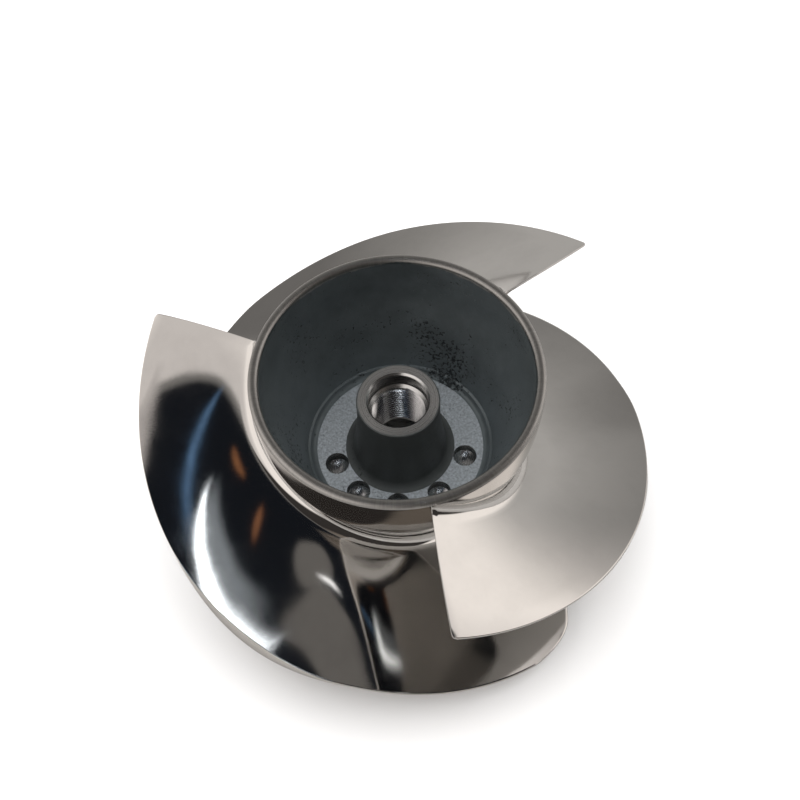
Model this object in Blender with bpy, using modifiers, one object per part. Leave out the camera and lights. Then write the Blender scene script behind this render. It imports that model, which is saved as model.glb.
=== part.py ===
"""Personal watercraft impeller: one stainless casting, modelled with Blender's own tools.

Metres, +Z up along the shaft axis. The nose face stands on z = 0, the open outlet mouth of the hub is
at the top, and the blades run down counter-clockwise, seen from above, from their trailing edges.
"""

import math

import bmesh
import bpy

# Driving sizes of the hub
HUB_HEIGHT = 0.0755
MOUTH_RADIUS = 0.0430
LIP_ROUND = 0.00145
NOSE_RADIUS = 0.0232
NOSE_CHAMFER = 0.0006
CONE_SLOPE = 0.405
CONE_TOP = 0.0596
KNEE = 0.006
WALL = 0.0030
WALL_GAIN = 0.08
WALL_GAIN_RUN = 0.014
FLOOR_HEIGHT = 0.0320
FLOOR_RADIUS = 0.0264
FLOOR_FILLET = 0.0022

# Driving sizes of the boss, the thread and the spline socket
BOSS_HEIGHT = 0.0597
BOSS_RADIUS = 0.01257
BOSS_TAPER = 0.0020
BOSS_TAPER_DEPTH = 0.0200
BOSS_BAND = 0.0060
BOSS_EDGE = 0.0005
BOSS_ROOT_RADIUS = 0.0173
COUNTERBORE_RADIUS = 0.0090
COUNTERBORE_DEPTH = 0.0055
BORE_CHAMFER = 0.0006
THREAD_CHAMFER = 0.0008
THREAD_RADIUS = 0.0074
SOCKET_DEPTH = 0.0265
SOCKET_RUNOUT = 0.0015
SOCKET_MINOR_RADIUS = 0.0116
SOCKET_MAJOR_RADIUS = 0.0129
SPLINE_TEETH = 18
SEAL_SEAT_RADIUS = 0.0155
SEAL_SEAT_DEPTH = 0.0050

# Driving sizes of the blades
BLADES = 3
BLADE_RADIUS = 0.0778
TRAILING_EDGE_ANGLE = 38.2
TRAILING_EDGE_DROP = 0.0020
ROOT_LAG = math.radians(2.0)
TIP_DROOP = 0.0040
TRAILING_PITCH = 0.2092
LEADING_PITCH = 0.1219
PITCH_RUN = math.radians(86.0)
TIP_LIFT = 0.0012
LIFT_FROM = math.radians(80.0)
LIFT_RUN = math.radians(25.0)
WRAP_AT_HUB = math.radians(172.0)
SWEEP = math.radians(13.6)
SWEEP_RADIUS = 0.0694
CORNER_SWEEP = math.radians(8.0)
CORNER_RADIUS = 0.0716
EDGE_THICKNESS = 0.0012
RIM_THICKNESS = 0.0052
ROOT_THICKNESS = 0.0052
THICKEST_AT = math.radians(74.0)
THICK_SPAN = math.radians(52.0)
THIN_SPAN = math.radians(28.0)
RIM_FLARE = 0.00105
FLARE_SHARE_BELOW = 0.67
FLARE_AT = math.radians(72.0)
FLARE_SPAN = math.radians(23.0)
RELIEF = 0.0005
RELIEF_FROM = math.radians(90.0)
RELIEF_RUN = math.radians(12.0)
BLADE_FILLET = 0.0037
FILLET_TOP_GAP = 0.0012
EMBED = 0.0012

# Balance holes drilled in the hub's floor, as (angle in degrees, depth)
DRILL_RADIUS = 0.0037
DRILL_POINT = math.radians(31.0)
DRILL_RISE = 0.0040
DRILL_CIRCLE = 0.0209
BALANCE_HOLES = ((-164.0, 0.0040), (-130.6, 0.0036), (-94.0, 0.0036), (-56.5, 0.0036), (-13.8, 0.0034))

# Fineness of the model
HUB_STEPS = 64
DRILL_STEPS = 20
TOOTH_STEPS = 4
WRAP_STEPS = 36
ROOT_OFFSETS = (-EMBED, 0.0, 0.25 * BLADE_FILLET, 0.6 * BLADE_FILLET, BLADE_FILLET)
SPAN_SHARES = (0.25, 0.5, 0.74, 0.9, 0.97, 1.0)
COLUMNS = len(ROOT_OFFSETS) + len(SPAN_SHARES)


def clear_scene():
    for item in list(bpy.data.objects):
        bpy.data.objects.remove(item, do_unlink=True)


def make_collection(name, hidden=False):
    group = bpy.data.collections.new(name)
    bpy.context.scene.collection.children.link(group)
    group.hide_render = hidden
    return group


def steel_material():
    """Polished stainless steel, as the blades and the hub's outer wall show it."""
    steel = bpy.data.materials.new("polished_stainless_steel")
    steel.use_nodes = True
    shader = steel.node_tree.nodes["Principled BSDF"]
    shader.inputs["Base Color"].default_value = (0.56, 0.54, 0.52, 1.0)
    shader.inputs["Metallic"].default_value = 1.0
    shader.inputs["Roughness"].default_value = 0.12
    steel.diffuse_color = (0.62, 0.60, 0.58, 1.0)
    return steel


def add_object(name, shape, group):
    mesh = bpy.data.meshes.new(name)
    shape.to_mesh(mesh)
    shape.free()
    item = bpy.data.objects.new(name, mesh)
    group.objects.link(item)
    return item


def moved_up(shape, face, height):
    """Extrudes a flat face upwards into a prism."""
    raised = bmesh.ops.extrude_face_region(shape, geom=[face])
    top = [item for item in raised["geom"] if isinstance(item, bmesh.types.BMVert)]
    bmesh.ops.translate(shape, verts=top, vec=(0.0, 0.0, height))
    bmesh.ops.recalc_face_normals(shape, faces=shape.faces[:])


def eased(share):
    """Runs smoothly from 0 to 1 and stays there."""
    inside = min(1.0, max(0.0, share))
    return inside * inside * (3 - 2 * inside)


def bump(share):
    """A smooth bump, 1 at a share of 0 and nothing from 1 on."""
    return math.cos(math.pi / 2 * min(1.0, abs(share))) ** 2


# Hub

def hub_radius(z):
    """Outer radius of the hub: a straight band at the mouth, a cone, and a straight nose."""
    below = CONE_TOP - z
    cone = MOUTH_RADIUS - CONE_SLOPE * (below + math.hypot(below, KNEE)) / 2
    past_nose = NOSE_RADIUS - cone
    return cone + (past_nose + math.hypot(past_nose, KNEE / 8)) / 2


def bowl_radius(z):
    """Inner radius of the hub, one wall inside the outer cone; the wall is a little thicker down there."""
    return hub_radius(z) - WALL * (1 + WALL_GAIN * eased((CONE_TOP - z) / WALL_GAIN_RUN))


def arc(centre_r, centre_z, radius, start, end, steps):
    """Points on a circular arc of a turned profile; angles in degrees, 0 pointing outwards."""
    points = []
    for step in range(steps + 1):
        angle = math.radians(start + (end - start) * step / steps)
        points.append((centre_r + radius * math.cos(angle), centre_z + radius * math.sin(angle)))
    return points


def lip_profile():
    top = HUB_HEIGHT - LIP_ROUND
    inner = arc(bowl_radius(top) + LIP_ROUND, top, LIP_ROUND, 180, 90, 3)
    outer = arc(hub_radius(top) - LIP_ROUND, top, LIP_ROUND, 90, 0, 3)
    return inner + outer


def wall_profile():
    """The outer wall and the nose, from under the lip down to the nose face."""
    levels = (0.0680, 0.0625, 0.0590, 0.0550, 0.0440, 0.0330, 0.0220, 0.0130, 0.0110)
    nose = [(NOSE_RADIUS, NOSE_CHAMFER), (NOSE_RADIUS - NOSE_CHAMFER, 0.0)]
    return [(hub_radius(z), z) for z in levels] + nose


def bore_profile():
    """The seal seat, the spline socket, the thread's bore and the counterbore, upwards."""
    roof = SOCKET_DEPTH + SOCKET_RUNOUT
    shoulder = BOSS_HEIGHT - COUNTERBORE_DEPTH
    return [
        (SEAL_SEAT_RADIUS, 0.0),
        (SEAL_SEAT_RADIUS, SEAL_SEAT_DEPTH),
        (SOCKET_MINOR_RADIUS, SEAL_SEAT_DEPTH),
        (SOCKET_MINOR_RADIUS, roof),
        (THREAD_RADIUS, roof),
        (THREAD_RADIUS, shoulder - THREAD_CHAMFER),
        (COUNTERBORE_RADIUS, shoulder),
        (COUNTERBORE_RADIUS, BOSS_HEIGHT - BORE_CHAMFER),
        (COUNTERBORE_RADIUS + BORE_CHAMFER, BOSS_HEIGHT),
    ]


def boss_profile():
    """The boss's side, from its face down to its fillet on the bowl's floor."""
    taper_middle = (BOSS_BAND + BOSS_TAPER_DEPTH) / 2
    flare = BOSS_ROOT_RADIUS - BOSS_RADIUS - BOSS_TAPER
    side = [
        (BOSS_RADIUS - BOSS_EDGE, BOSS_HEIGHT),
        (BOSS_RADIUS, BOSS_HEIGHT - BOSS_EDGE),
        (BOSS_RADIUS, BOSS_HEIGHT - BOSS_BAND),
        (BOSS_RADIUS + 0.35 * BOSS_TAPER, BOSS_HEIGHT - taper_middle),
        (BOSS_RADIUS + BOSS_TAPER, BOSS_HEIGHT - BOSS_TAPER_DEPTH),
    ]
    return side + arc(BOSS_ROOT_RADIUS, FLOOR_HEIGHT + flare, flare, 180, 270, 3)[1:]


def bowl_profile():
    """The bowl's floor fillet and its wall, upwards."""
    fillet = arc(FLOOR_RADIUS, FLOOR_HEIGHT + FLOOR_FILLET, FLOOR_FILLET, 270, 340, 2)
    return fillet + [(bowl_radius(z), z) for z in (0.0440, 0.0520, 0.0570, 0.0610, 0.0670)]


def turned(name, profile, steps, group):
    """A solid of revolution: the profile's closed outline with a Screw modifier about Z."""
    shape = bmesh.new()
    corners = [shape.verts.new((r, 0.0, z)) for r, z in profile]
    for pair in zip(corners, corners[1:] + corners[:1]):
        shape.edges.new(pair)
    item = add_object(name, shape, group)
    screw = item.modifiers.new("turn", "SCREW")
    screw.axis = "Z"
    screw.angle = math.tau
    screw.steps = steps
    screw.render_steps = steps
    screw.use_merge_vertices = True
    screw.merge_threshold = 0.00001
    screw.use_normal_calculate = True
    return item


def drill(name, angle, depth, group):
    """A drilled hole's cutter: a cylinder with the drill's cone at its end."""
    bottom = FLOOR_HEIGHT - depth
    top = FLOOR_HEIGHT + DRILL_RISE
    tip = bottom - DRILL_RADIUS * math.tan(DRILL_POINT)
    profile = [(0.0, tip), (DRILL_RADIUS, bottom), (DRILL_RADIUS, top), (0.0, top)]
    item = turned(name, profile, DRILL_STEPS, group)
    turn = math.radians(angle)
    item.location = (DRILL_CIRCLE * math.cos(turn), DRILL_CIRCLE * math.sin(turn), 0.0)
    return item


def spline_cutter(name, group):
    """A toothed prism that cuts the spline socket's grooves: a circle with some of its points moved out."""
    bottom = SEAL_SEAT_DEPTH - 0.001
    inner = SOCKET_MINOR_RADIUS - 0.0004
    steps = SPLINE_TEETH * TOOTH_STEPS
    shape = bmesh.new()
    circle = bmesh.ops.create_circle(shape, cap_ends=True, segments=steps, radius=inner)["verts"]
    for vert in circle:
        step = round(math.atan2(vert.co.y, vert.co.x) / math.tau * steps) % TOOTH_STEPS
        if step < TOOTH_STEPS / 2:
            vert.co *= SOCKET_MAJOR_RADIUS / inner
    bmesh.ops.translate(shape, verts=circle, vec=(0.0, 0.0, bottom))
    moved_up(shape, shape.faces[:][0], SOCKET_DEPTH - bottom)
    return add_object(name, shape, group)


# Blades

def blade_drop(wrap):
    """How far the blade has come down at an angle past its trailing edge; the pitch eases on the way."""
    steep = (TRAILING_PITCH - LEADING_PITCH) / math.tau
    run = min(wrap, PITCH_RUN)
    return LEADING_PITCH / math.tau * wrap + steep * (run - run * run / (2 * PITCH_RUN))


def face_height(wrap, radius):
    """Height of the blade's upper face, which droops from the hub to the tip and falls less at the tip."""
    along = (radius - MOUTH_RADIUS) / (BLADE_RADIUS - MOUTH_RADIUS)
    lift = TIP_LIFT * eased((wrap - LIFT_FROM) / LIFT_RUN)
    return HUB_HEIGHT - TRAILING_EDGE_DROP - blade_drop(wrap) - (TIP_DROOP - lift) * along


def rim_radius(wrap, lower):
    """Radius of the rim: it leans outwards where it is thickest and stands in along its leading part."""
    lean = RIM_FLARE * bump((wrap - FLARE_AT) / FLARE_SPAN)
    share = FLARE_SHARE_BELOW if lower else FLARE_SHARE_BELOW - 1
    return BLADE_RADIUS - RELIEF * eased((wrap - RELIEF_FROM) / RELIEF_RUN) + lean * share


def wrap_start(radius):
    """Angle of the trailing edge, which lags a little at the hub."""
    inward = min(1.0, max(0.0, BLADE_RADIUS - radius) / (BLADE_RADIUS - MOUTH_RADIUS))
    return ROOT_LAG * inward ** 2.3


def wrap_end(radius):
    """Angle of the leading edge: swept back towards the tip, with its outer corner rounded off."""
    sweep = SWEEP * ((radius - NOSE_RADIUS) / (SWEEP_RADIUS - NOSE_RADIUS)) ** 3
    corner_width = BLADE_RADIUS - RELIEF - CORNER_RADIUS
    corner = CORNER_SWEEP * (max(0.0, radius - CORNER_RADIUS) / corner_width) ** 3
    return WRAP_AT_HUB - max(0.0, sweep) - corner


def blade_thickness(wrap, along, part):
    """Thickness along Z: thin edges, an even swell at the root, and a shorter one at the rim."""
    root = (ROOT_THICKNESS - EDGE_THICKNESS) * math.sin(math.pi * part) ** 0.6
    span = THICK_SPAN if wrap < THICKEST_AT else THIN_SPAN
    rim = (RIM_THICKNESS - EDGE_THICKNESS) * bump((wrap - THICKEST_AT) / span)
    return EDGE_THICKNESS + (1 - along) * root + along * rim


def fillet_lift(offset):
    """Rise of the fillet at an offset outwards from the hub's wall."""
    inside = min(max(0.0, BLADE_FILLET - offset), BLADE_FILLET)
    return BLADE_FILLET - math.sqrt(BLADE_FILLET ** 2 - inside ** 2)


def root_radius(wrap, below):
    """Hub radius where a blade face meets it, found by closing in on the face's own height."""
    radius = MOUTH_RADIUS
    for _ in range(12):
        radius = hub_radius(face_height(wrap, radius) - below)
    return radius


def blade_point(part, column, lower):
    """One point of a blade's upper or lower face.

    part runs from 0 at the trailing edge to 1 at the leading edge. The first columns lie in the wall
    and the fillet, and the others share out the rest of the span.
    """
    wrap = part * WRAP_AT_HUB
    for _ in range(8):
        below = 0.0
        if lower:
            below = blade_thickness(wrap, 0.0, part) + BLADE_FILLET * 0.5
        root = root_radius(wrap, below)
        if column < len(ROOT_OFFSETS):
            radius = root + ROOT_OFFSETS[column]
        else:
            reach = root + BLADE_FILLET
            radius = reach + (rim_radius(wrap, lower) - reach) * SPAN_SHARES[column - len(ROOT_OFFSETS)]
        wrap = part * wrap_end(radius) + (1 - part) * wrap_start(radius)
    along = min(1.0, max(0.0, (radius - root) / (BLADE_RADIUS - root)))
    height = face_height(wrap, radius)
    lift = fillet_lift(radius - root)
    if lower:
        height -= blade_thickness(wrap, along, part) + lift
    else:
        height += min(lift, HUB_HEIGHT - FILLET_TOP_GAP - height)
    return radius, wrap, height


def blade(name, angle, group):
    """A blade: a grid laid over its upper face, extruded into its lower face."""
    shape = bmesh.new()
    bmesh.ops.create_grid(shape, x_segments=WRAP_STEPS, y_segments=COLUMNS - 1, size=0.5)
    result = bmesh.ops.extrude_face_region(shape, geom=shape.faces[:])
    lower = {item for item in result["geom"] if isinstance(item, bmesh.types.BMVert)}
    for vert in shape.verts:
        part = vert.co.x + 0.5
        column = round((vert.co.y + 0.5) * (COLUMNS - 1))
        radius, wrap, height = blade_point(part, column, vert in lower)
        turn = math.radians(angle) + wrap
        vert.co = (radius * math.cos(turn), radius * math.sin(turn), height)
    bmesh.ops.recalc_face_normals(shape, faces=shape.faces[:])
    return add_object(name, shape, group)


def combine(target, tool, operation):
    modifier = target.modifiers.new(tool.name, "BOOLEAN")
    modifier.operation = operation
    modifier.solver = "EXACT"
    modifier.object = tool
    tool.display_type = "WIRE"
    tool.hide_render = True


def main():
    clear_scene()
    parts = make_collection("personal_watercraft_impeller")
    tools = make_collection("construction_shapes", hidden=True)
    profile = lip_profile() + wall_profile() + bore_profile() + boss_profile() + bowl_profile()
    casting = turned("impeller_casting", profile, HUB_STEPS, parts)
    for number in range(BLADES):
        angle = TRAILING_EDGE_ANGLE + number * 360.0 / BLADES
        combine(casting, blade(f"blade_{number + 1}_shape", angle, tools), "UNION")
    combine(casting, spline_cutter("spline_cutter", tools), "DIFFERENCE")
    for number, (angle, depth) in enumerate(BALANCE_HOLES):
        combine(casting, drill(f"balance_drill_{number + 1}", angle, depth, tools), "DIFFERENCE")
    casting.data.materials.append(steel_material())
    casting.data.shade_smooth()


main()
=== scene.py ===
"""Looks of a personal watercraft impeller, laid out as a Blender add-on and run as a script.

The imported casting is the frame. The hub, its thread and the blades are modelled again here with fine,
smooth meshes, because polished steel shows every facet, and they stand for the casting's one node.
"""

import math

import bmesh
import bpy
from mathutils import Matrix, Vector


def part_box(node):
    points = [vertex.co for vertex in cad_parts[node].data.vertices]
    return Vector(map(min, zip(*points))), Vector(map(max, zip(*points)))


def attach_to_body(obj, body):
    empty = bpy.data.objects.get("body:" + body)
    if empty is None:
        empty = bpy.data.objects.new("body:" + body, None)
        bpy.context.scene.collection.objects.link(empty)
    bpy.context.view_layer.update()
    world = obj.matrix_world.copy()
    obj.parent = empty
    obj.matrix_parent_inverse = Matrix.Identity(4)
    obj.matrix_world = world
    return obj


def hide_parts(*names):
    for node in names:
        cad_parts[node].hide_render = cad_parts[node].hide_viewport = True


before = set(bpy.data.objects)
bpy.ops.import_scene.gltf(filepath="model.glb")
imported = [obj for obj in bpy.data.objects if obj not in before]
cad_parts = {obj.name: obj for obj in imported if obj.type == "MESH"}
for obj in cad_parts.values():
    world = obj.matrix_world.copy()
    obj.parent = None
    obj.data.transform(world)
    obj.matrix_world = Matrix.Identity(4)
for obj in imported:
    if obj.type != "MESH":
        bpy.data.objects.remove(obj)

bl_info = {
    "name": "Jet Pump Impeller",
    "version": (1, 0, 0),
    "blender": (4, 5, 0),
    "location": "View3D > Sidebar > Impeller",
    "description": "Models the polished hub, the thread and the helical blades of a jet pump impeller",
    "category": "Object",
}

CASTING = "impeller_casting"
TOTAL_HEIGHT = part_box(CASTING)[1][2]


# Settings that a user would change

def length(name, description, default):
    return bpy.props.FloatProperty(
        name=name, description=description, default=default, min=0.0, precision=5, unit="LENGTH"
    )


def turn(name, description, degrees):
    return bpy.props.FloatProperty(
        name=name, description=description, default=math.radians(degrees), subtype="ANGLE", unit="ROTATION"
    )


def plain(name, description, default):
    return bpy.props.FloatProperty(name=name, description=description, default=default, precision=4)


def tint(name, description, default):
    return bpy.props.FloatVectorProperty(
        name=name, description=description, default=default, size=3, subtype="COLOR", min=0.0, max=1.0
    )


class HubSettings(bpy.types.PropertyGroup):
    """Sizes of the hub, its bowl and its boss."""

    height: length("Height", "From the nose face to the mouth's lip", TOTAL_HEIGHT)
    mouth_radius: length("Mouth radius", "Outer radius of the straight band at the mouth", 0.0430)
    nose_radius: length("Nose radius", "Outer radius of the nose", 0.0232)
    cone_slope: plain("Cone slope", "Loss of radius for each metre of depth", 0.405)
    cone_top: length("Cone top", "Height at which the cone begins", 0.0596)
    knee: length("Knee", "Softness of the turn from the band to the cone", 0.006)
    wall: length("Wall", "Thickness of the bowl's wall", 0.0030)
    lip_round: length("Lip rounding", "Radius of the lip's two edges", 0.00145)
    floor_height: length("Floor height", "Height of the bowl's floor", 0.0320)
    floor_radius: length("Floor radius", "Radius at which the floor's fillet begins", 0.0264)
    floor_fillet: length("Floor fillet", "Radius of the fillet between floor and bowl", 0.0022)
    boss_height: length("Boss height", "Height of the boss's turned face", 0.0597)
    boss_radius: length("Boss radius", "Radius of the boss at its face", 0.01257)
    boss_root_radius: length("Boss root radius", "Radius at which the boss meets the floor", 0.0173)
    counterbore_radius: length("Counterbore radius", "Radius of the counterbore", 0.0090)
    counterbore_depth: length("Counterbore depth", "Depth of the counterbore", 0.0055)
    thread_crest: length("Thread crest", "Inner radius of the thread", 0.0074)
    thread_root: length("Thread root", "Outer radius of the thread's grooves", 0.0081)
    thread_pitch: length("Thread pitch", "Rise of the thread in one turn", 0.00125)
    socket_depth: length("Socket depth", "Depth of the spline socket from the nose face", 0.0265)
    socket_minor: length("Socket minor radius", "Radius over the spline's teeth", 0.0116)
    socket_major: length("Socket major radius", "Radius at the spline's grooves", 0.0129)
    seal_radius: length("Seal seat radius", "Radius of the seal's seat in the nose", 0.0155)
    seal_depth: length("Seal seat depth", "Depth of the seal's seat", 0.0050)
    teeth: bpy.props.IntProperty(name="Spline teeth", description="Teeth in the socket", default=18, min=6)
    drill_radius: length("Drill radius", "Radius of the balance holes", 0.0037)
    drill_circle: length("Drill circle", "Radius of the circle that the balance holes lie on", 0.0209)


class BladeSettings(bpy.types.PropertyGroup):
    """Sizes of the helical blades."""

    count: bpy.props.IntProperty(name="Blades", description="Number of blades", default=3, min=1)
    tip_radius: length("Tip radius", "Radius of the blades' turned rims", 0.07777)
    first_edge: turn("First trailing edge", "Angle of the first blade's trailing edge from +X", 38.2)
    edge_drop: length("Trailing edge drop", "Depth of the trailing edge under the lip", 0.0020)
    droop: length("Droop", "Fall of a blade's face from the hub to its tip", 0.0040)
    trailing_pitch: length("Trailing pitch", "Pitch at the trailing edge", 0.2092)
    leading_pitch: length("Leading pitch", "Pitch at the leading edge", 0.1219)
    pitch_run: turn("Pitch run", "Angle over which the pitch eases", 86.0)
    tip_lift: length("Tip lift", "How much less the tip falls than the root, past the lift's start", 0.0012)
    lift_from: turn("Lift from", "Angle at which the tip's lift starts", 80.0)
    lift_run: turn("Lift run", "Angle over which the tip's lift comes in", 25.0)
    wrap_at_hub: turn("Wrap at the hub", "Angle that a blade covers at the hub", 172.0)
    sweep: turn("Sweep", "How far the leading edge lags at the sweep radius", 13.6)
    sweep_radius: length("Sweep radius", "Radius at which the sweep is stated", 0.0694)
    corner_sweep: turn("Corner sweep", "Further lag that rounds the outer corner", 8.0)
    corner_radius: length("Corner radius", "Radius at which the corner's rounding begins", 0.0716)
    root_lag: turn("Root lag", "How far the trailing edge lags at the hub", 2.0)
    edge_thickness: length("Edge thickness", "Thickness at the edges, along the axis", 0.0012)
    rim_thickness: length("Rim thickness", "Largest thickness at the rim", 0.0052)
    root_thickness: length("Root thickness", "Largest thickness at the root", 0.0052)
    thickest_at: turn("Thickest at", "Angle at which the rim is thickest", 74.0)
    thick_span: turn("Thick span", "Angle over which the rim thins out towards the trailing edge", 52.0)
    thin_span: turn("Thin span", "Angle over which the rim thins out towards the leading edge", 28.0)
    rim_flare: length("Rim flare", "How far the rim leans outwards where it is thickest", 0.00105)
    flare_at: turn("Flare at", "Angle at which the rim leans most", 72.0)
    flare_span: turn("Flare span", "Angle on either side over which the lean fades", 23.0)
    relief: length("Relief", "How far the rim stands in along its leading part", 0.0005)
    relief_from: turn("Relief from", "Angle at which the relief starts", 90.0)
    relief_run: turn("Relief run", "Angle over which the relief comes in", 12.0)
    fillet: length("Fillet", "Radius of the fillet between blade and hub", 0.0037)
    tip_round: length("Tip rounding", "Rounding of the corner between trailing edge and rim", 0.0012)
    rim_roll: length("Rim roll", "How far polishing has rolled the face down at the rim", 0.00026)
    roll_width: length("Roll width", "Width of the rolled strip along the rim", 0.0046)
    roll_reach: turn("Roll reach", "Angle behind the trailing edge over which the roll fades", 40.0)
    edge_roll: length("Edge roll", "How far polishing has rolled the face down at the trailing edge", 0.00007)
    edge_roll_width: length("Edge roll width", "Width of the rolled strip along the trailing edge", 0.0024)
    embed: length("Embed", "How deep a blade's root lies in the hub's wall", 0.0010)


class FinishSettings(bpy.types.PropertyGroup):
    """Colours of the casting's surfaces."""

    polished: tint("Polished steel", "Blades and the hub's outer wall", (0.60, 0.585, 0.565))
    rim: tint("Turned rim", "Turned outer faces of the blades", (0.60, 0.58, 0.55))
    lip: tint("Brushed lip", "Lip of the hub's mouth", (0.40, 0.39, 0.375))
    bowl: tint("Cast bowl", "As-cast inside of the hub", (0.155, 0.178, 0.186))
    floor: tint("Blasted floor", "Shot-blasted floor of the bowl", (0.40, 0.433, 0.46))
    boss: tint("Cast boss", "Sides of the boss", (0.085, 0.091, 0.09))
    turned: tint("Turned steel", "Boss face, counterbore and nose", (0.60, 0.60, 0.595))
    drilled: tint("Drilled steel", "Balance holes and thread", (0.68, 0.68, 0.68))


class StudioSettings(bpy.types.PropertyGroup):
    """Camera, floor and lights."""

    elevation: turn("Elevation", "Height of the camera's view over the horizon", 59.14)
    roll: turn("Roll", "Turn of the camera about its own view", -2.58)
    distance: length("Distance", "From the camera to the point it looks at", 0.3124)
    aim_right: plain("Aim right", "Sideways offset of the point looked at, in metres", 0.00057)
    aim_up: plain("Aim up", "Upward offset of the point looked at, in metres", -0.00816)
    lens: plain("Lens", "Focal length in millimetres on a 36 mm sensor", 49.36)
    floor: tint("Floor", "Colour of the floor", (0.88, 0.88, 0.88))
    # Painted shade: the floor's colour in the steel's reflections, darker than the floor the camera sees
    shaded_floor_in_steel: tint("Mirrored floor", "Colour of the floor seen in the steel", (0.44, 0.43, 0.42))
    light: plain("Light", "Power of the soft light overhead, in watts", 48.0)


# Node helpers

FLOAT, VECTOR = "NodeSocketFloat", "NodeSocketVector"


def feed(tree, value, entry):
    """Links an output to an input, or writes a plain value into it."""
    if isinstance(value, bpy.types.NodeSocket):
        tree.links.new(value, entry)
    else:
        entry.default_value = value


def add_node(tree, kind, inputs=None, **settings):
    """A node with its settings and with what feeds its inputs."""
    node = tree.nodes.new(kind)
    for name, value in settings.items():
        setattr(node, name, value)
    for name, value in (inputs or {}).items():
        feed(tree, value, node.inputs[name])
    return node


def maths(tree, operation, *values):
    node = add_node(tree, "ShaderNodeMath", dict(enumerate(values)), operation=operation)
    return node.outputs["Value"]


def vector_maths(tree, operation, output, *values):
    node = add_node(tree, "ShaderNodeVectorMath", dict(enumerate(values)), operation=operation)
    return node.outputs[output]


def opaque(colour):
    return (*colour, 1.0)


def shaded(colour, factor):
    return tuple(channel * factor for channel in colour)


def blend(tree, factor, first, second):
    """A colour that runs from the first to the second with a factor."""
    node = add_node(tree, "ShaderNodeMix", {"Factor": factor, "A": first, "B": second}, data_type="RGBA")
    return node.outputs["Result"]


def ramp(tree, value, low, high, low_value=0.0, high_value=1.0, kind="LINEAR"):
    """Maps a range of one value onto another, clamped."""
    inputs = {"Value": value, "From Min": low, "From Max": high, "To Min": low_value, "To Max": high_value}
    return add_node(tree, "ShaderNodeMapRange", inputs, interpolation_type=kind).outputs["Result"]


def object_place(tree):
    """Object coordinates, which are in metres."""
    return add_node(tree, "ShaderNodeTexCoord").outputs["Object"]


def noise(tree, place, scale, detail=3.0, roughness=0.5):
    inputs = {"Vector": place, "Scale": scale, "Detail": detail, "Roughness": roughness}
    return add_node(tree, "ShaderNodeTexNoise", inputs).outputs["Fac"]


def bump(tree, distance, strength, height, normal=None, invert=False):
    """A surface raised by a height, on top of another bump where one is given."""
    inputs = {"Distance": distance, "Strength": strength, "Height": height}
    if normal:
        inputs["Normal"] = normal
    return add_node(tree, "ShaderNodeBump", inputs, invert=invert).outputs["Normal"]


def parts_of(tree, vector):
    return add_node(tree, "ShaderNodeSeparateXYZ", {"Vector": vector}).outputs


def joined(tree, x, y):
    """A vector without height."""
    return add_node(tree, "ShaderNodeCombineXYZ", {"X": x, "Y": y}).outputs["Vector"]


def direction_parts(tree):
    """The parts of the direction that a ray takes into the world."""
    return parts_of(tree, add_node(tree, "ShaderNodeTexCoord").outputs["Generated"])


def new_group(name, entries, exits):
    """A shader node group with named float inputs and named outputs."""
    tree = bpy.data.node_groups.new(name, "ShaderNodeTree")
    for entry, value in entries:
        socket = tree.interface.new_socket(entry, in_out="INPUT", socket_type=FLOAT)
        socket.default_value = value
    for name, kind in exits:
        tree.interface.new_socket(name, in_out="OUTPUT", socket_type=kind)
    return tree, tree.nodes.new("NodeGroupInput").outputs


def end_group(tree, results):
    result = tree.nodes.new("NodeGroupOutput")
    for name, value in results.items():
        feed(tree, value, result.inputs[name])
    return tree


def add_group(tree, name, build, inputs):
    """A node group, built when it is first asked for."""
    group = bpy.data.node_groups.get(name) or build()
    return add_node(tree, "ShaderNodeGroup", inputs, node_tree=group)


# Shared surface effects

def polish_group():
    """Hand polishing: slow waves in the surface, fine scratches and a little haze."""
    entries = (("Waves", 0.25), ("Scratches", 0.05), ("Base Roughness", 0.06), ("Haze", 0.05))
    exits = (("Roughness", FLOAT), ("Normal", VECTOR), ("Tint", FLOAT))
    tree, source = new_group("hand_polish", entries, exits)
    place = object_place(tree)
    slow = bump(tree, 0.0009, source["Waves"], noise(tree, place, 42.0, 1.5))
    stretch = {"Vector": place, "Scale": (900.0, 5200.0, 2600.0), "Rotation": (0.4, 0.3, 0.8)}
    streaks = add_node(tree, "ShaderNodeMapping", stretch).outputs["Vector"]
    scratches = noise(tree, streaks, 1.0, 2.0, 0.6)
    veil = ramp(tree, noise(tree, place, 70.0, 4.0, 0.6), 0.42, 0.75)
    haze = maths(tree, "MULTIPLY", veil, source["Haze"])
    results = {
        "Roughness": maths(tree, "ADD", haze, source["Base Roughness"]),
        "Normal": bump(tree, 0.00004, source["Scratches"], scratches, slow),
        "Tint": veil,
    }
    return end_group(tree, results)


# Centre of the patch of the bowl, behind the boss, that has the most pits, in metres.
PITTED_PATCH = (0.0190, 0.0260, 0.0420)


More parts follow.
